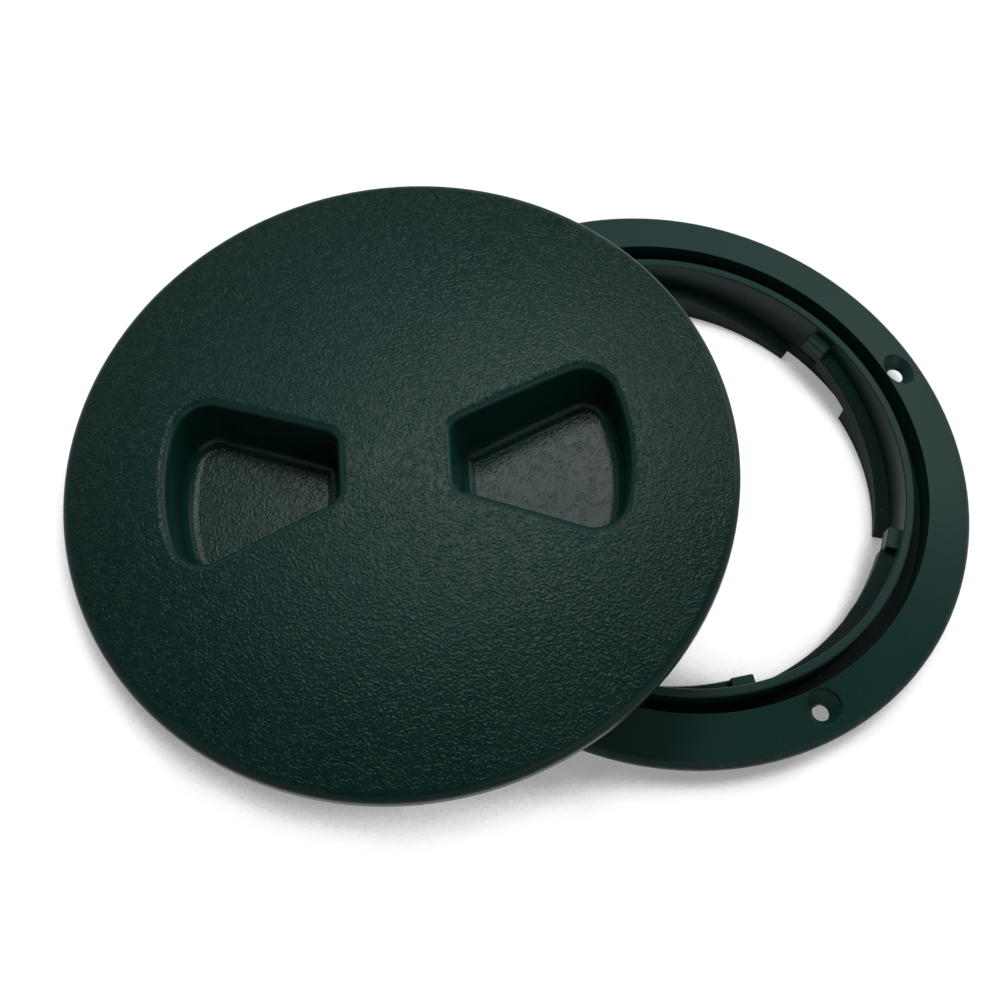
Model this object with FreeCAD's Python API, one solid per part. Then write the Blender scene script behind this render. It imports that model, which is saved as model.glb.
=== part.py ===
import FreeCAD, Part
import math
import os
from FreeCAD import Placement, Rotation, Vector

# Deck inspection plate, in millimetres. A ring is screwed into a deck, and a lid drops in and turns
# down on six ramps. The lid is off: it leans on the ring's flange with one side of its plug on the floor.
# Origin: on the ring's axis at the deck surface. Z up. The screw holes lie at 45 degrees to X and Y.

# Frame ring
opening_radius = 63.5
ridge_width = 2.4
ridge_rise = 0.4
groove_width = 4.3
groove_depth = 8.0
flange_width = 12.9
flange_top = 6.2
flange_fall = 3.5
flange_edge_reach = 1.2
flange_edge_drop = 2.4
flange_rim = 1.9
frame_wall = 2.4
frame_depth = 11.4
ridge_edge_chamfer = 0.35

# Screw holes in the flange
screw_count = 4
screw_first_angle = 45.0
screw_inset = 5.3
screw_hole_radius = 2.4
countersink_radius = 5.0
countersink_recess = 0.8
screw_boss_wall = 1.0

# Ramps, stop blocks and sill inside the ring
ramp_count = 6
ramp_start_angle = 58.4
ramp_span = 50.6
ramp_open_span = 13.8
ramp_reach = 3.7
ramp_start_depth = 4.95
ramp_fall = 10.2
ramp_thickness = 5.0
ramp_edge_chamfer = 0.6
block_middle = 2.6
block_width = 6.1
block_draft = 11.0
block_reach = 3.4
block_edge_round = 0.6
block_top_depth = 2.5
block_height = 5.7
sill_reach = 0.2
sill_height = 4.2

# Lid
rim_overhang = 2.9
rim_side = 1.9
rim_round = 2.3
rim_lip = 2.0
dome_rise = 10.5
lid_skin = 2.6
plug_depth = 16.0
plug_wall = 2.4
plug_clearance = 0.6
skirt_clearance = 0.8
skirt_wall = 3.0
skirt_depth = 4.4

# Finger pockets
pocket_inner_end = 14.2
pocket_inner_half_width = 9.2
pocket_side_angle = 22.0
pocket_inset = 0.3
pocket_depth = 19.0
pocket_draft = 6.0
pocket_inner_corner = 4.2
pocket_outer_corner = 8.0
pocket_floor_round = 3.8
pocket_lip_round = 2.3
pocket_wall = 2.3

# Lugs under the lid
lug_first_angle = 30.0
lug_span = 10.0
lug_height = 3.4
lug_gap_to_wall = 0.9
lug_gap_to_ramp = 0.1
seat_gap = 0.2

# Ribs under the lid
rib_angles = (62.0, 118.0, 242.0, 298.0)
rib_thickness = 1.8
rib_depth = 6.0

# Seal
seal_width = 2.5
seal_edge_chamfer = 0.5
seal_squeeze = 0.3
seal_gap = 0.05
gland_side_room = 0.4
gland_lip = 1.4

# How the lid lies
lid_direction = 206.8
lid_distance = 72.4
lid_turn = -6.5
rest_clearance = 0.3

Y_AXIS = Vector(0, 1, 0)
Z_AXIS = Vector(0, 0, 1)
ORIGIN = Vector(0, 0, 0)
overlap = 0.8
tolerance = 0.01
lean_steps = 12

ridge_outer = opening_radius + ridge_width
groove_outer = ridge_outer + groove_width
flange_radius = groove_outer + flange_width
screw_circle_radius = groove_outer + screw_inset
ramp_inner_radius = opening_radius - ramp_reach
plug_radius = ramp_inner_radius - plug_clearance
plug_inner = plug_radius - plug_wall
rim_radius = flange_radius + rim_overhang
pocket_outer_radius = plug_radius - pocket_inset
skirt_inner = ridge_outer + skirt_clearance
skirt_outer = skirt_inner + skirt_wall
helix_slope = ramp_fall / ramp_span


def at(radius, height):
    return Vector(radius, 0, height)


def polar(radius, degrees, height=0.0):
    a = math.radians(degrees)
    return Vector(radius * math.cos(a), radius * math.sin(a), height)


def line(a, b):
    return Part.LineSegment(a, b).toShape()


def arc(a, middle, b):
    return Part.Arc(a, middle, b).toShape()


def chain(points):
    return [line(a, b) for a, b in zip(points, points[1:])]


def spun(edges, first_angle=0.0, angle=360.0):
    face = Part.Face(Part.Wire(edges))
    solid = face.revolve(ORIGIN, Z_AXIS, angle)
    solid.rotate(ORIGIN, Z_AXIS, first_angle)
    return solid


def closed_spun(points, first_angle=0.0, angle=360.0):
    return spun(chain(points + [points[0]]), first_angle, angle)


# Frame

def flange_height_at(radius):
    run = flange_width - flange_edge_reach
    return flange_top - flange_fall * (radius - groove_outer) / run


def ring_section():
    edge_start = flange_radius - flange_edge_reach
    edge_top = flange_height_at(edge_start)
    edge_end = edge_top - flange_edge_drop
    share = 1 - math.sqrt(0.5)
    groove_floor = flange_top - groove_depth
    channel_outer = groove_outer + frame_wall
    channel_bottom = groove_floor - frame_wall
    ridge_top = flange_top + ridge_rise
    rim_inner = flange_radius - flange_rim
    edges = [
        line(at(ridge_outer, groove_floor), at(groove_outer, groove_floor)),
        line(at(groove_outer, groove_floor), at(groove_outer, flange_top)),
        line(at(groove_outer, flange_top), at(edge_start, edge_top)),
        arc(
            at(edge_start, edge_top),
            at(flange_radius - share * flange_edge_reach, edge_top - share * flange_edge_drop),
            at(flange_radius, edge_end),
        ),
    ]
    edges += chain([
        at(flange_radius, edge_end),
        at(flange_radius, 0),
        at(rim_inner, 0),
        at(rim_inner, flange_height_at(rim_inner) - frame_wall),
        at(channel_outer, flange_height_at(channel_outer) - frame_wall),
        at(channel_outer, channel_bottom),
        at(ridge_outer, channel_bottom),
        at(ridge_outer, -frame_depth),
        at(opening_radius - sill_reach, -frame_depth),
        at(opening_radius - sill_reach, sill_height - frame_depth),
        at(opening_radius, sill_height - frame_depth),
        at(opening_radius, ridge_top - ridge_edge_chamfer),
        at(opening_radius + ridge_edge_chamfer, ridge_top),
        at(ridge_outer - ridge_edge_chamfer, ridge_top),
        at(ridge_outer, ridge_top - ridge_edge_chamfer),
        at(ridge_outer, groove_floor),
    ])
    return edges


def helix_bar(section, low_angle, low_height, span):
    # A closed section in the radial plane, carried up a helix from its low end.
    pitch = helix_slope * 360.0
    path = Part.makeHelix(pitch, helix_slope * span, opening_radius)
    bar = Part.Wire(path).makePipeShell([section], True, True)
    bar.rotate(ORIGIN, Z_AXIS, low_angle)
    bar.translate(Vector(0, 0, low_height))
    return bar


def bar_section(inner, outer, height):
    # Top face at height 0, with its inner edge chamfered.
    return Part.Wire(chain([
        at(inner + ramp_edge_chamfer, 0),
        at(outer, 0),
        at(outer, -height),
        at(inner, -height),
        at(inner, -ramp_edge_chamfer),
        at(inner + ramp_edge_chamfer, 0),
    ]))


def ramp(index):
    # Solid down to the wall's bottom, with the space for a lug cut out under its high end.
    start = ramp_start_angle + index * 360.0 / ramp_count
    high_top = flange_top - ramp_start_depth
    outer = opening_radius + overlap
    height = flange_top + frame_depth
    section = bar_section(ramp_inner_radius, outer, height)
    solid = helix_bar(section, start - ramp_span, high_top - ramp_fall, ramp_span)
    open_low = high_top - helix_slope * ramp_open_span - ramp_thickness
    space_section = bar_section(ramp_inner_radius - ramp_reach, outer + overlap, height)
    space = helix_bar(space_section, start - ramp_open_span, open_low, ramp_open_span + overlap)
    keep = Part.makeCylinder(flange_radius, height, Vector(0, 0, -frame_depth), Z_AXIS)
    return solid.cut(space).common(keep)


def stop_block(index):
    # A trapezoid, seen along the radius, just past the ramp's high end.
    top = flange_top - block_top_depth
    bottom = top - block_height
    inner = opening_radius - block_reach
    half_top = block_width / 2
    half_bottom = half_top + block_height * math.tan(math.radians(block_draft))
    face = Part.Face(Part.Wire(chain([
        Vector(inner, -half_bottom, bottom),
        Vector(inner, half_bottom, bottom),
        Vector(inner, half_top, top),
        Vector(inner, -half_top, top),
        Vector(inner, -half_bottom, bottom),
    ])))
    block = face.extrude(Vector(block_reach + overlap, 0, 0))
    block = block.makeFillet(block_edge_round, [e for e in block.Edges if e.BoundBox.XMax < inner + tolerance])
    block.rotate(ORIGIN, Z_AXIS, ramp_start_angle + index * 360.0 / ramp_count + block_middle)
    return block


def screw_boss(index):
    # Fills the hollow under the flange round a countersink, and ends inside the walls that it joins.
    angle = screw_first_angle + index * 360.0 / screw_count
    radius = countersink_radius + screw_boss_wall
    inner = groove_outer + frame_wall / 2
    outer = flange_radius - flange_rim / 2
    room = closed_spun([
        at(inner, 0),
        at(outer, 0),
        at(outer, flange_height_at(outer) - frame_wall / 2),
        at(inner, flange_height_at(inner) - frame_wall / 2),
    ])
    boss = Part.makeCylinder(radius, flange_top, polar(screw_circle_radius, angle), Z_AXIS)
    return boss.common(room)


def screw_cut(index):
    angle = screw_first_angle + index * 360.0 / screw_count
    seat = flange_height_at(screw_circle_radius) - countersink_recess
    cone = countersink_radius - screw_hole_radius
    below = 2 * frame_wall
    above = 2 * flange_fall
    hole = Part.makeCylinder(screw_hole_radius, seat + below,
                             polar(screw_circle_radius, angle, -below), Z_AXIS)
    sink = Part.makeCone(screw_hole_radius, countersink_radius, cone,
                         polar(screw_circle_radius, angle, seat - cone), Z_AXIS)
    top = Part.makeCylinder(countersink_radius, above, polar(screw_circle_radius, angle, seat), Z_AXIS)
    return hole.fuse([sink, top])


def make_frame():
    body = spun(ring_section())
    added = [ramp(i) for i in range(ramp_count)]
    added += [stop_block(i) for i in range(ramp_count)]
    added += [screw_boss(i) for i in range(screw_count)]
    body = body.fuse(added)
    return body.cut([screw_cut(i) for i in range(screw_count)])


# Lid, in its own axes: Z up through its centre, 0 at the bottom of the rim, pockets along X

rim_top = rim_side + rim_round
dome_edge = rim_radius - rim_round
dome_fall = dome_rise - rim_top
dome_radius = (dome_edge ** 2 + dome_fall ** 2) / (2 * dome_fall)
dome_centre = dome_rise - dome_radius


def dome_height(radius, skin=0.0):
    return dome_centre + math.sqrt((dome_radius - skin) ** 2 - radius ** 2)


def dome_arc(a, b, skin=0.0):
    points = [at(radius, dome_height(radius, skin)) for radius in (a, (a + b) / 2, b)]
    return arc(*points)


seal_outer = groove_outer + seal_squeeze
seal_inner = seal_outer - seal_width
gland_floor = seal_inner - seal_gap
gland_half_height = seal_width / 2 + gland_side_room
gland_middle = -skirt_depth + gland_half_height + gland_lip


def lid_section():
    corner = rim_round * (1 - math.sqrt(0.5))
    rim_inner = rim_radius - rim_lip
    edges = [
        dome_arc(0, dome_edge),
        arc(at(dome_edge, rim_top), at(rim_radius - corner, rim_top - corner), at(rim_radius, rim_side)),
    ]
    edges += chain([
        at(rim_radius, rim_side),
        at(rim_radius, 0),
        at(rim_inner, 0),
        at(rim_inner, dome_height(rim_inner, lid_skin)),
        at(skirt_outer, dome_height(skirt_outer, lid_skin)),
        at(skirt_outer, gland_middle + gland_half_height),
        at(gland_floor, gland_middle + gland_half_height),
        at(gland_floor, gland_middle - gland_half_height),
        at(skirt_outer, gland_middle - gland_half_height),
        at(skirt_outer, -skirt_depth),
        at(skirt_inner, -skirt_depth),
        at(skirt_inner, dome_height(skirt_inner, lid_skin)),
        at(plug_radius, dome_height(plug_radius, lid_skin)),
        at(plug_radius, -plug_depth),
        at(plug_inner, -plug_depth),
        at(plug_inner, dome_height(plug_inner, lid_skin)),
    ])
    edges.append(dome_arc(plug_inner, 0, lid_skin))
    edges.append(line(at(0, dome_height(0, lid_skin)), at(0, dome_rise)))
    return edges


pocket_floor = dome_rise - pocket_depth
lid_seam_angle = 90.0


def behind_wall(x, y, facing):
    # A large block on the pocket's side of a drafted wall, which passes x, y at the dome's top.
    size = 2 * rim_radius
    block = Part.makeBox(size, size, size, Vector(-size, -size / 2, -size / 2))
    turn = Rotation(Z_AXIS, facing) * Rotation(Y_AXIS, pocket_draft)
    block.Placement = Placement(Vector(x, y, dome_rise), turn)
    return block


def pocket_solid(grow, top):
    # A wedge with drafted walls and rounded corners, its walls moved out by grow for the cup round it.
    draft = math.tan(math.radians(pocket_draft))
    bottom = pocket_floor - grow
    outer = pocket_outer_radius + grow
    solid = closed_spun([
        at(0, bottom),
        at(outer - (dome_rise - bottom) * draft, bottom),
        at(outer - (dome_rise - top) * draft, top),
        at(0, top),
    ])
    solid = solid.common(behind_wall(pocket_inner_end - grow, 0, 180.0))
    for sign in (1, -1):
        facing = sign * (90.0 + pocket_side_angle)
        side = polar(grow, facing) + Vector(pocket_inner_end, sign * pocket_inner_half_width, 0)
        solid = solid.common(behind_wall(side.x, side.y, facing))
    middle = (pocket_inner_end + pocket_outer_radius) / 2
    corners = [e for e in solid.Edges if e.BoundBox.ZLength > pocket_depth / 2]
    solid = solid.makeFillet(pocket_inner_corner + grow, [e for e in corners if e.CenterOfMass.x < middle])
    corners = [e for e in solid.Edges if e.BoundBox.ZLength > pocket_depth / 2]
    solid = solid.makeFillet(pocket_outer_corner + grow, [e for e in corners if e.CenterOfMass.x > middle])
    floor_edges = [e for e in solid.Edges if abs(e.BoundBox.ZMax - bottom) < tolerance]
    if grow:
        return solid.makeChamfer(pocket_floor_round, floor_edges)
    return solid.makeFillet(pocket_floor_round, floor_edges)


# With the lid locked, its dome's skin clears the flange, and each lug ends up under a ramp's high end.
seated_height = flange_top + seat_gap - dome_height(groove_outer, lid_skin)
ramp_underside = flange_top - ramp_start_depth - ramp_thickness
lug_top = ramp_underside - helix_slope * (ramp_open_span - lug_span / 2) - lug_gap_to_ramp
lug_top_depth = seated_height - lug_top


def lug(index):
    middle = lug_first_angle + index * 360.0 / ramp_count
    outer = opening_radius - lug_gap_to_wall
    low_angle = middle - lug_span / 2
    low_top = -lug_top_depth - helix_slope * lug_span / 2
    return helix_bar(lug_section(plug_radius - overlap, outer), low_angle, low_top, lug_span)


def lug_section(inner, outer):
    return Part.Wire(chain([
        at(inner, 0),
        at(outer - ramp_edge_chamfer, 0),
        at(outer, -ramp_edge_chamfer),
        at(outer, -lug_height + ramp_edge_chamfer),
        at(outer - ramp_edge_chamfer, -lug_height),
        at(inner, -lug_height),
        at(inner, 0),
    ]))


def rib(angle):
    length = plug_radius - plug_wall / 2
    bottom = dome_height(length, lid_skin) - rib_depth
    bar = Part.makeBox(length, rib_thickness, rib_depth + lid_skin / 2, Vector(0, -rib_thickness / 2, bottom))
    bar.rotate(ORIGIN, Z_AXIS, angle)
    return bar


def inside_of_plug():
    # Everything within the plug's outer wall, up to the middle of the dome's skin.
    skin = lid_skin / 2
    edges = [dome_arc(0, plug_radius, skin)]
    edges += chain([
        at(plug_radius, dome_height(plug_radius, skin)),
        at(plug_radius, -plug_depth),
        at(0, -plug_depth),
        at(0, dome_height(0, skin)),
    ])
    return spun(edges, lid_seam_angle)


def make_lid():
    cups = []
    voids = []
    for turn in (0.0, 180.0):
        cup = pocket_solid(pocket_wall, dome_rise)
        void = pocket_solid(0.0, dome_rise + overlap)
        cup.rotate(ORIGIN, Z_AXIS, turn)
        void.rotate(ORIGIN, Z_AXIS, turn)
        cups.append(cup)
        voids.append(void)
    body = spun(lid_section(), lid_seam_angle)
    inside = inside_of_plug()
    added = [cup.common(inside) for cup in cups]
    added += [rib(a) for a in rib_angles]
    added += [lug(i) for i in range(ramp_count)]
    body = body.fuse(added).cut(voids).removeSplitter()
    return body.makeFillet(pocket_lip_round, [e for e in body.Edges if is_lip(e)])


def is_lip(edge):
    # Edges of the pockets' mouths lie on the dome.
    if edge.Degenerated:
        return False
    for p in edge.discretize(5):
        radius = math.hypot(p.x, p.y)
        if radius < pocket_inner_end / 2 or radius > pocket_outer_radius + overlap:
            return False
        if abs(p.z - dome_height(radius)) > tolerance:
            return False
    return True


def make_seal():
    low = gland_middle - seal_width / 2
    high = gland_middle + seal_width / 2
    return closed_spun([
        at(seal_inner + seal_edge_chamfer, low),
        at(seal_outer - seal_edge_chamfer, low),
        at(seal_outer, low + seal_edge_chamfer),
        at(seal_outer, high - seal_edge_chamfer),
        at(seal_outer - seal_edge_chamfer, high),
        at(seal_inner + seal_edge_chamfer, high),
        at(seal_inner, high - seal_edge_chamfer),
        at(seal_inner, low + seal_edge_chamfer),
    ])


# The lid's place. The plug's outer edge is on the floor, its inner edge on the ring at two points.

def reach_to_ring(radius, lean):
    # Distance from the plug's centre, along the lean, to where its inner edge crosses a circle of the ring.
    b = 2 * lid_distance * math.cos(lean)
    c = lid_distance ** 2 + plug_inner ** 2 - radius ** 2
    return 2 * c / (b + math.sqrt(b * b + 4 * c * math.sin(lean) ** 2))


def lean_angle():
    rings = [
        (opening_radius, flange_top + ridge_rise),
        (ridge_outer, flange_top + ridge_rise),
        (groove_outer, flange_top),
        (flange_radius - flange_edge_reach, flange_height_at(flange_radius - flange_edge_reach)),
    ]
    lean = 0.0
    for _ in range(lean_steps):
        slopes = [
            (height + frame_depth + rest_clearance) / (plug_radius + reach_to_ring(radius, lean))
            for radius, height in rings
        ]
        lean = math.asin(max(slopes))
    return math.degrees(lean)


def lid_placement():
    lean = lean_angle()
    turn = Rotation(Z_AXIS, lid_direction) * Rotation(Y_AXIS, lean)
    up = turn.multVec(Z_AXIS)
    height = plug_radius * math.sin(math.radians(lean)) - frame_depth
    plug_centre = polar(lid_distance, lid_direction, height)
    return Placement(plug_centre + up * plug_depth, turn * Rotation(Z_AXIS, lid_turn))


def export(name, shape):
    solids = shape.Solids
    print(name, "solids", len(solids), "valid", shape.isValid(), "volume", round(shape.Volume))
    shape = solids[0] if len(solids) == 1 else shape
    shape.exportStep("parts/" + name + ".step")


def main():
    os.makedirs("parts", exist_ok=True)
    frame = make_frame()
    lid = make_lid()
    seal = make_seal()
    place = lid_placement()
    print("lean", round(lean_angle(), 2))
    lid.Placement = place.multiply(lid.Placement)
    seal.Placement = place.multiply(seal.Placement)
    export("frame", frame)
    export("lid", lid)
    export("seal_ring", seal)


main()
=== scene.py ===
import math

import bmesh
import bpy
from mathutils import Matrix, Vector

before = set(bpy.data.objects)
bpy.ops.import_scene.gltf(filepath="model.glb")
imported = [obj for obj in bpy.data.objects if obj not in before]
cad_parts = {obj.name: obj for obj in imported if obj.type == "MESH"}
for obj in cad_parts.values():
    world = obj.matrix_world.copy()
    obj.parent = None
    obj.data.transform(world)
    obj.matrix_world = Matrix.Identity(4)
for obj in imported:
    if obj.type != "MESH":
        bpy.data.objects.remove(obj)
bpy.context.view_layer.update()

# Deck inspection plate: a screw-down ring with its grained twist-lock lid leaning on it. Metres.

MM = 0.001

# Camera
LENS = 69.03
SENSOR = 36.0
CAMERA_PLACE = (-0.03766, -0.26061, 0.44804)
CAMERA_RIGHT = (0.951615, 0.274877, 0.13735)
CAMERA_UP = (-0.307184, 0.839408, 0.44836)
CLIP_START = 0.01

# The lid's place in the part's frame
LID_DIRECTION = math.radians(206.8)
LID_LEAN = math.radians(12.30)
LID_TURN = math.radians(-6.5)
LID_DISTANCE = 72.4 * MM
PLUG_RADIUS = 59.2 * MM
PLUG_DEPTH = 16.0 * MM
FLOOR_HEIGHT = -11.4 * MM

# Lid sizes that its finish follows
RIM_RADIUS = 86.0 * MM
DOME_RISE = 10.5 * MM
DOME_CURVE = 559.16 * MM

# Light
AIM = (-0.05, -0.02, 0.0)
OVERHEAD_BOX = {"place": (-0.24, 0.22, 0.69), "size": (0.44, 0.22), "power": 3.3}
KEY_BOX = {"place": (0.25, 0.40, 0.44), "size": (0.34, 0.34), "power": 1.3}
FRONT_BOX = {"place": (0.38, -0.44, 0.54), "size": (0.60, 0.60), "power": 1.15}
WORLD_FILL = 0.05
FLOOR_BOUNCE = 0.12
FLOOR_WHITE = 0.98
SHADOW_REACH = 0.05
SHADOW_DARK = 0.52
SHADOW_END = 0.60
SHADOW_LEVEL = 0.30
SHADOW_SAMPLES = 16

# The painted shadow under the object is worked out round the ring's axis and round the lid's
# centre.
LID_PLACE = (LID_DISTANCE * math.cos(LID_DIRECTION), LID_DISTANCE * math.sin(LID_DIRECTION))
SHADE_ZONES = ((0.0, 0.0), LID_PLACE)
SHADE_ZONE_RADIUS = 125.0 * MM

# The sweep: a flat disc, then rings that each grow by a share and rise in metres
SWEEP_RADIUS = 2.6
SWEEP_STEPS = ((1.12, 0.06), (1.08, 0.22), (1.03, 0.42), (1.0, 1.8))
SWEEP_DROP = 0.05 * MM

# Lid finish
GRAIN_PATCH = 2.4 * MM
GRAIN_RIDGES = 2.1
GRAIN_WARP_SIZE = 3.0 * MM
GRAIN_WARP = 2.4 * MM
GRAIN_SIZE = 1.0 * MM
TOOTH_SIZE = 0.36 * MM
GRAIN_DEPTH = 0.10 * MM
GRAIN_STRENGTH = 0.8
LID_GREEN = ((0.0042, 0.0288, 0.0240), (0.0052, 0.0336, 0.0284))
LID_VALLEY_SHADE_GREEN = (0.0022, 0.0170, 0.0140)
LID_RIM_SHADE_GREEN = (0.0018, 0.0135, 0.0112)
LID_SPECULAR = 0.11

# Ring finish
FLANGE_RADIUS = 83.1 * MM
RING_GREEN = ((0.0036, 0.0262, 0.0220), (0.0048, 0.0302, 0.0260))
DEEP_SHADE_GREEN = (0.0012, 0.0066, 0.0054)
DEEP_SHADE_LEVELS = (4.0 * MM, -2.5 * MM)
DEEP_SHADE_SHARE = 0.72
WORN_GREY = (0.070, 0.085, 0.080)
RING_SPECULAR = 0.13
RING_RELIEF = 0.02 * MM
EDGE_ROUNDING = 0.35 * MM
EDGE_SAMPLES = 3

# Seal finish
RUBBER = ((0.010, 0.010, 0.010), (0.018, 0.018, 0.017))
RUBBER_SPECULAR = 0.4
RUBBER_RELIEF = 0.03 * MM


def lid_axes():
    turn = (
        Matrix.Rotation(LID_DIRECTION, 4, "Z")
        @ Matrix.Rotation(LID_LEAN, 4, "Y")
        @ Matrix.Rotation(LID_TURN, 4, "Z")
    )
    up = turn.col[2].to_3d()
    height = PLUG_RADIUS * math.sin(LID_LEAN) + FLOOR_HEIGHT
    centre = Vector((*LID_PLACE, height))
    return Matrix.Translation(centre + up * PLUG_DEPTH) @ turn


LID_AXES = lid_axes()


class Finish:
    """Short calls for a material's nodes."""

    def __init__(self, name):
        self.material = bpy.data.materials.new(name)
        self.material.use_nodes = True
        self.tree = self.material.node_tree
        self.tree.nodes.clear()
        self.output = self.add("ShaderNodeOutputMaterial")
        self.shader = self.add("ShaderNodeBsdfPrincipled")
        self.link(self.shader.outputs["BSDF"], self.output.inputs["Surface"])

    def add(self, kind, **values):
        node = self.tree.nodes.new(kind)
        for name, value in values.items():
            setattr(node, name, value)
        return node

    def link(self, source, target):
        self.tree.links.new(source, target)

    def feed(self, socket, value):
        if isinstance(value, bpy.types.NodeSocket):
            self.link(value, socket)
        else:
            socket.default_value = value

    def place(self, axes=None):
        coordinates = self.add("ShaderNodeTexCoord").outputs["Object"]
        if axes is None:
            return coordinates
        mapping = self.add("ShaderNodeMapping", vector_type="TEXTURE")
        mapping.inputs["Location"].default_value = axes.translation
        mapping.inputs["Rotation"].default_value = axes.to_euler()
        self.link(coordinates, mapping.inputs["Vector"])
        return mapping.outputs["Vector"]

    def plan(self, place):
        """The place as seen from above, its distance from the axis, and its height."""
        parts = self.add("ShaderNodeSeparateXYZ")
        self.link(place, parts.inputs[0])
        flat = self.add("ShaderNodeCombineXYZ")
        self.link(parts.outputs["X"], flat.inputs["X"])
        self.link(parts.outputs["Y"], flat.inputs["Y"])
        length = self.add("ShaderNodeVectorMath", operation="LENGTH")
        self.link(flat.outputs[0], length.inputs[0])
        return flat.outputs[0], length.outputs["Value"], parts.outputs["Z"]

    def distance(self, place, point):
        node = self.add("ShaderNodeVectorMath", operation="DISTANCE")
        self.link(place, node.inputs[0])
        node.inputs[1].default_value = point
        return node.outputs["Value"]

    def maths(self, operation, a, b=0.0, clamp=False):
        node = self.add("ShaderNodeMath", operation=operation, use_clamp=clamp)
        self.feed(node.inputs[0], a)
        self.feed(node.inputs[1], b)
        return node.outputs["Value"]

    def noise(self, place, size, detail=2.0, roughness=0.5, distortion=0.0):
        node = self.add("ShaderNodeTexNoise")
        self.link(place, node.inputs["Vector"])
        node.inputs["Scale"].default_value = 1.0 / size
        node.inputs["Detail"].default_value = detail
        node.inputs["Roughness"].default_value = roughness
        node.inputs["Distortion"].default_value = distortion
        return node.outputs["Fac"]

    def ripples(self, place, patch, ridges):
        node = self.add("ShaderNodeTexGabor", gabor_type="2D")
        self.link(place, node.inputs["Vector"])
        node.inputs["Scale"].default_value = 1.0 / patch
        node.inputs["Frequency"].default_value = ridges
        node.inputs["Anisotropy"].default_value = 0.0
        return node.outputs["Value"]

    def warped(self, place, size, reach):
        node = self.add("ShaderNodeTexNoise")
        self.link(place, node.inputs["Vector"])
        node.inputs["Scale"].default_value = 1.0 / size
        node.inputs["Detail"].default_value = 1.0
        shift = self.add("ShaderNodeVectorMath", operation="MULTIPLY_ADD")
        self.link(node.outputs["Color"], shift.inputs[0])
        shift.inputs[1].default_value = (reach, reach, 0.0)
        self.link(place, shift.inputs[2])
        return shift.outputs["Vector"]

    def facing(self, direction):
        node = self.add("ShaderNodeVectorMath", operation="DOT_PRODUCT")
        self.link(self.add("ShaderNodeTexCoord").outputs["Normal"], node.inputs[0])
        node.inputs[1].default_value = direction
        return node.outputs["Value"]

    def span(self, value, low, high, to_low=0.0, to_high=1.0, smooth=True):
        node = self.add("ShaderNodeMapRange")
        node.interpolation_type = "SMOOTHSTEP" if smooth else "LINEAR"
        self.feed(node.inputs["Value"], value)
        node.inputs["From Min"].default_value = low
        node.inputs["From Max"].default_value = high
        node.inputs["To Min"].default_value = to_low
        node.inputs["To Max"].default_value = to_high
        return node.outputs["Result"]

    def blend(self, share, a, b):
        node = self.add("ShaderNodeMix", data_type="RGBA")
        self.feed(node.inputs["Factor"], share)
        self.feed(node.inputs["A"], a)
        self.feed(node.inputs["B"], b)
        return node.outputs["Result"]

    def bump(self, height, distance, strength=1.0, normal=None):
        node = self.add("ShaderNodeBump")
        node.inputs["Strength"].default_value = strength
        node.inputs["Distance"].default_value = distance
        self.link(height, node.inputs["Height"])
        if normal is not None:
            self.link(normal, node.inputs["Normal"])
        return node.outputs["Normal"]

    def glow(self, strength):
        node = self.add("ShaderNodeEmission")
        node.inputs["Color"].default_value = colour(1.0)
        self.feed(node.inputs["Strength"], strength)
        return node.outputs["Emission"]

    def choose(self, share, shader_a, shader_b):
        node = self.add("ShaderNodeMixShader")
        self.link(share, node.inputs["Fac"])
        self.link(shader_a, node.inputs[1])
        self.link(shader_b, node.inputs[2])
        return node.outputs["Shader"]

    def softened_edges(self, radius):
        node = self.add("ShaderNodeBevel", samples=EDGE_SAMPLES)
        node.inputs["Radius"].default_value = radius
        return node.outputs["Normal"]


def colour(*values):
    """One grey level or red, green and blue, with full cover."""
    red, green, blue = values if len(values) == 3 else values * 3
    return (red, green, blue, 1.0)


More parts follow.
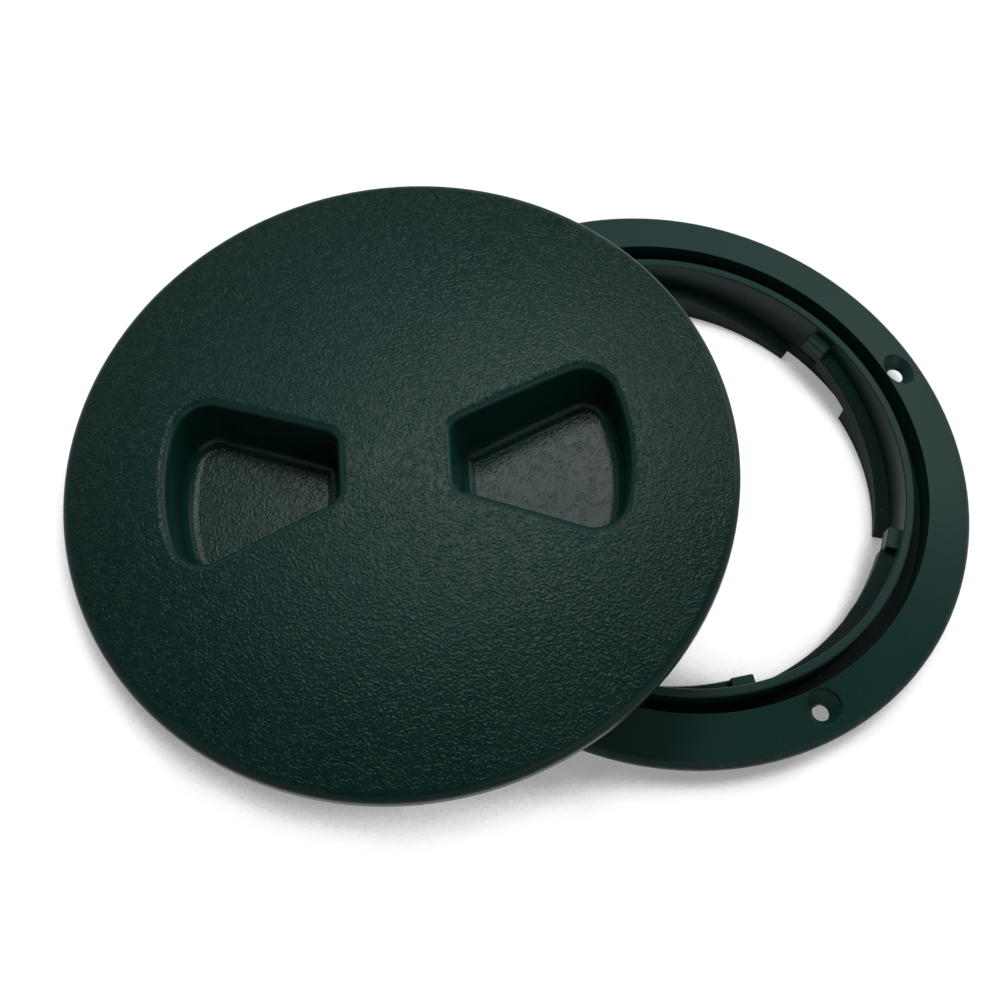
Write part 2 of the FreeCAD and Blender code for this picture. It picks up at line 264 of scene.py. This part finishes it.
def grained_lid_plastic():
    f = Finish("grained_lid_plastic")
    place = f.place(LID_AXES)
    flat, radius, height = f.plan(place)

    # How far a point lies under the dome's curve, which tells the skin from the pockets.
    drop = f.maths("MULTIPLY", f.maths("MULTIPLY", radius, radius), 0.5 / DOME_CURVE)
    dome = f.maths("SUBTRACT", DOME_RISE, drop)
    depth = f.maths("SUBTRACT", dome, height)
    in_pocket = f.span(depth, 1.5 * MM, 4.0 * MM)
    level = f.span(f.facing(LID_AXES.col[2].to_3d()), 0.80, 0.97, 0.06, 1.0)
    at_rim = f.span(radius, RIM_RADIUS - 3.0 * MM, RIM_RADIUS - 1.0 * MM, 1.0, 0.2)
    shallow = f.span(in_pocket, 0, 1, 1, 0.45)
    share = f.maths("MULTIPLY", f.maths("MULTIPLY", level, at_rim), shallow)

    # Leather grain: curled ridges that come and go, small grains between them and a fine tooth.
    warped = f.warped(flat, GRAIN_WARP_SIZE, GRAIN_WARP)
    curls = f.span(f.ripples(warped, GRAIN_PATCH, GRAIN_RIDGES), 0.40, 0.66)
    patchy = f.span(f.noise(place, GRAIN_PATCH, detail=1.0), 0.36, 0.62, 0.15, 1.0)
    grains = f.span(f.noise(place, GRAIN_SIZE, detail=1.0), 0.46, 0.70)
    tooth = f.noise(place, TOOTH_SIZE, detail=1.0)
    ridges = f.maths("ADD", f.maths("MULTIPLY", curls, patchy), f.maths("MULTIPLY", grains, 0.7))
    relief = f.maths("ADD", ridges, f.maths("MULTIPLY", tooth, 0.35))
    relief = f.maths("MULTIPLY", relief, share)

    cloud = f.noise(place, 30 * MM)
    body = f.blend(cloud, colour(*LID_GREEN[0]), colour(*LID_GREEN[1]))
    # Painted shade: the grain's valleys are darkened where shade falls between the ridges.
    valley_shade = f.maths("MULTIPLY", f.maths("MULTIPLY", f.span(ridges, 0.5, 0), share), 0.35)
    body = f.blend(valley_shade, body, colour(*LID_VALLEY_SHADE_GREEN))
    # Painted shade: the colour darkens from 40 mm out towards the rim, as the dome turns away from
    # the light.
    rim_shade = f.span(radius, 40 * MM, 84 * MM, 0.0, 0.60)
    body = f.blend(rim_shade, body, colour(*LID_RIM_SHADE_GREEN))
    f.link(body, f.shader.inputs["Base Color"])

    rough = f.span(cloud, 0.3, 0.7, 0.28, 0.33)
    rough = f.maths("SUBTRACT", rough, f.maths("MULTIPLY", in_pocket, 0.05))
    f.link(rough, f.shader.inputs["Roughness"])
    f.shader.inputs["Specular IOR Level"].default_value = LID_SPECULAR
    f.link(f.bump(relief, GRAIN_DEPTH, GRAIN_STRENGTH), f.shader.inputs["Normal"])
    return f.material


def ring_plastic():
    f = Finish("ring_plastic")
    place = f.place()
    _, radius, height = f.plan(place)
    cloud = f.noise(place, 25 * MM)
    body = f.blend(cloud, colour(*RING_GREEN[0]), colour(*RING_GREEN[1]))

    # Painted shade: darker low in the groove and inside the ring.
    deep = f.span(height, *DEEP_SHADE_LEVELS)
    body = f.blend(f.maths("MULTIPLY", deep, DEEP_SHADE_SHARE), body, colour(*DEEP_SHADE_GREEN))

    # Scuffs and small nicks along the flange's outer edge, and a few specks.
    at_edge = f.span(radius, FLANGE_RADIUS - 1.6 * MM, FLANGE_RADIUS - 0.5 * MM)
    nicks = f.maths("MULTIPLY", at_edge, f.span(f.noise(place, 3.5 * MM), 0.56, 0.66))
    specks = f.span(f.noise(place, 1.6 * MM, detail=1.0), 0.74, 0.80)
    faint_specks = f.maths("MULTIPLY", specks, 0.25)
    faint_nicks = f.maths("MULTIPLY", nicks, 0.30)
    worn = f.maths("ADD", faint_specks, faint_nicks, clamp=True)
    f.link(f.blend(worn, body, colour(*WORN_GREY)), f.shader.inputs["Base Color"])

    rough = f.maths("ADD", f.span(cloud, 0.3, 0.7, 0.34, 0.40), f.maths("MULTIPLY", deep, 0.22))
    f.link(rough, f.shader.inputs["Roughness"])
    f.shader.inputs["Specular IOR Level"].default_value = RING_SPECULAR
    fine = f.noise(place, 0.5 * MM, detail=1.0)
    wave = f.noise(place, 14 * MM, detail=1.0)
    relief = f.maths("ADD", fine, f.maths("MULTIPLY", wave, 4.0))
    relief = f.maths("SUBTRACT", relief, f.maths("MULTIPLY", nicks, 6.0))
    normal = f.bump(relief, RING_RELIEF, 0.5, f.softened_edges(EDGE_ROUNDING))
    f.link(normal, f.shader.inputs["Normal"])
    return f.material


def seal_rubber():
    f = Finish("seal_rubber")
    place = f.place()
    cloud = f.noise(place, 6 * MM, detail=3.0)
    body = f.blend(cloud, colour(*RUBBER[0]), colour(*RUBBER[1]))
    f.link(body, f.shader.inputs["Base Color"])
    f.link(f.span(cloud, 0.3, 0.7, 0.6, 0.72), f.shader.inputs["Roughness"])
    f.shader.inputs["Specular IOR Level"].default_value = RUBBER_SPECULAR
    f.link(f.bump(f.noise(place, 0.4 * MM), RUBBER_RELIEF, 0.5), f.shader.inputs["Normal"])
    return f.material


def studio_white():
    # White to the eye and in reflections, with a painted shadow from ambient occlusion close under
    # the object, a dull floor to the rest.
    f = Finish("studio_white")
    f.shader.inputs["Base Color"].default_value = colour(FLOOR_BOUNCE)
    f.shader.inputs["Roughness"].default_value = 0.9
    f.shader.inputs["Specular IOR Level"].default_value = 0.0
    near = f.add("ShaderNodeAmbientOcclusion", samples=SHADOW_SAMPLES)
    near.inputs["Distance"].default_value = SHADOW_REACH
    occlusion = near.outputs["AO"]
    # Painted shadow: the floor's glow darkens with ambient occlusion close under the object.
    level = f.span(occlusion, SHADOW_DARK, SHADOW_END, SHADOW_LEVEL, FLOOR_WHITE, smooth=False)
    place = f.place()
    # Further out there is no shade, so the occlusion isn't worked out there.
    zones = [
        f.maths("LESS_THAN", f.distance(place, (x, y, FLOOR_HEIGHT)), SHADE_ZONE_RADIUS)
        for x, y in SHADE_ZONES
    ]
    shaded = f.maths("MAXIMUM", *zones)
    glow = f.choose(shaded, f.glow(FLOOR_WHITE), f.glow(level))

    path = f.add("ShaderNodeLightPath")
    seen = f.maths("ADD", path.outputs["Is Camera Ray"], path.outputs["Is Glossy Ray"])
    seen = f.maths("ADD", seen, path.outputs["Is Transmission Ray"], clamp=True)
    both = f.add("ShaderNodeAddShader")
    f.link(f.shader.outputs["BSDF"], both.inputs[0])
    f.link(glow, both.inputs[1])
    surface = f.choose(seen, f.shader.outputs["BSDF"], both.outputs["Shader"])
    f.link(surface, f.output.inputs["Surface"])
    # The glow is for the eye and for reflections, so it isn't sampled as a lamp.
    f.material.cycles.emission_sampling = "NONE"
    return f.material


def dress(node, material):
    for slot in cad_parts[node].material_slots:
        slot.material = material


def sweep():
    # The floor and, far behind it on every side, the backdrop that it curves up into.
    mesh = bpy.data.meshes.new("studio_sweep")
    shape = bmesh.new()
    bmesh.ops.create_circle(shape, cap_ends=True, segments=64, radius=SWEEP_RADIUS)
    edges = list(shape.edges)
    for out, up in SWEEP_STEPS:
        grown = bmesh.ops.extrude_edge_only(shape, edges=edges)["geom"]
        verts = [item for item in grown if isinstance(item, bmesh.types.BMVert)]
        edges = [item for item in grown if isinstance(item, bmesh.types.BMEdge)]
        bmesh.ops.scale(shape, verts=verts, vec=(out, out, 1.0))
        bmesh.ops.translate(shape, verts=verts, vec=(0, 0, up))
    bmesh.ops.translate(shape, verts=shape.verts, vec=(0, 0, FLOOR_HEIGHT - SWEEP_DROP))
    bmesh.ops.recalc_face_normals(shape, faces=shape.faces)
    shape.to_mesh(mesh)
    shape.free()
    mesh.materials.append(studio_white())
    piece = bpy.data.objects.new("studio_sweep", mesh)
    bpy.context.scene.collection.objects.link(piece)


def softbox(name, place, size, power):
    lamp = bpy.data.lights.new(name, "AREA")
    lamp.shape = "RECTANGLE"
    lamp.size, lamp.size_y = size
    lamp.energy = power
    piece = bpy.data.objects.new(name, lamp)
    piece.location = place
    piece.rotation_euler = (Vector(AIM) - Vector(place)).to_track_quat("-Z", "Y").to_euler()
    bpy.context.scene.collection.objects.link(piece)


def studio():
    sweep()
    softbox("overhead_softbox", **OVERHEAD_BOX)
    softbox("key_softbox", **KEY_BOX)
    softbox("front_softbox", **FRONT_BOX)
    world = bpy.data.worlds.new("studio")
    bpy.context.scene.world = world
    world.use_nodes = True
    background = world.node_tree.nodes["Background"]
    background.inputs["Color"].default_value = colour(1.0)
    background.inputs["Strength"].default_value = WORLD_FILL


def camera():
    lens = bpy.data.cameras.new("camera")
    lens.lens = LENS
    lens.sensor_width = SENSOR
    lens.clip_start = CLIP_START
    piece = bpy.data.objects.new("camera", lens)
    right, up = Vector(CAMERA_RIGHT), Vector(CAMERA_UP)
    turn = Matrix((right, up, right.cross(up))).transposed()
    piece.matrix_world = Matrix.Translation(CAMERA_PLACE) @ turn.to_4x4()
    bpy.context.scene.collection.objects.link(piece)
    bpy.context.scene.camera = piece


dress("lid", grained_lid_plastic())
dress("frame", ring_plastic())
dress("seal_ring", seal_rubber())
studio()
camera()

scene = bpy.context.scene
scene.view_settings.view_transform = "Standard"
